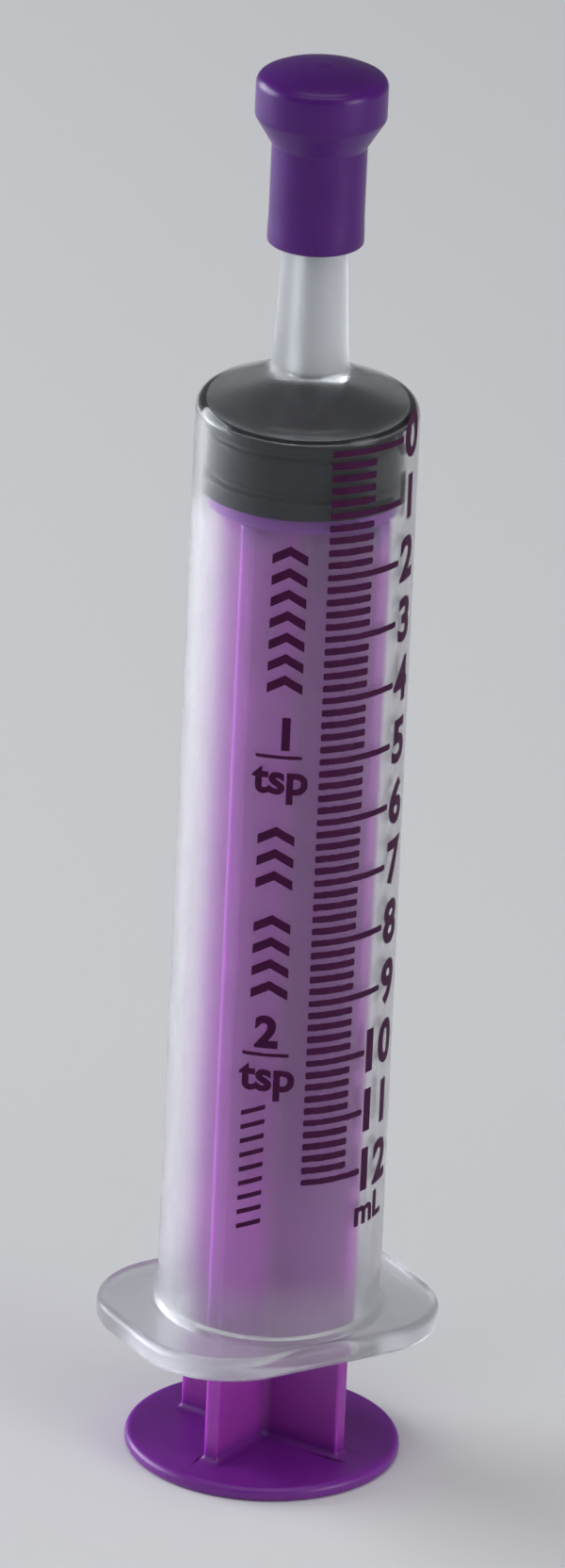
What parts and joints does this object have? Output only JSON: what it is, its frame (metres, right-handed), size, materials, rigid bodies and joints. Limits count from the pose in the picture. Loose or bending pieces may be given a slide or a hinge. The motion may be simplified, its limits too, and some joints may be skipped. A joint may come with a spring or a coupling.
{
  "type": "oral syringe",
  "caption": "Oral syringe with a graduated clear barrel, finger flange, cross-ribbed plunger, rubber stopper and push-on tip cap.",
  "frame": {"origin": "centre of the thumb disc's outer face, on which the syringe stands with the plunger fully in", "axes": "+Z along the barrel from the thumb disc to the tip, +X along the finger flange's long axis, -Y towards the printed scale"},
  "size_m": [0.026, 0.022, 0.1167],
  "materials": {
    "barrel_pp": "clear natural polypropylene, slightly frosted",
    "ink": "dark printing ink",
    "rod_pp": "satin purple polypropylene",
    "stopper_rubber": "smooth grey-black rubber",
    "cap_pp": "glossy deep purple plastic"
  },
  "bodies": {
    "barrel": {"barrel": "barrel_pp", "scale_lines": "ink", "scale_numerals": "ink", "dose_marks": "ink"},
    "stopper": {"stopper": "stopper_rubber"},
    "plunger_rod": {"plunger_rod": "rod_pp"},
    "tip_cap": {"tip_cap": "cap_pp"}
  },
  "joints": [
    {"name": "plunger_slide", "type": "slide", "parent": "barrel", "child": "stopper", "axis": [0, 0, -1], "range_m": [0, 0.0692]},
    {"name": "rod_twist", "type": "hinge", "parent": "stopper", "child": "plunger_rod", "pos_m": [0, 0, 0.08], "axis": [0, 0, 1], "continuous": true},
    {"name": "cap_pull", "type": "slide", "parent": "barrel", "child": "tip_cap", "axis": [0, 0, 1], "range_m": [0, 0.03]}
  ]
}
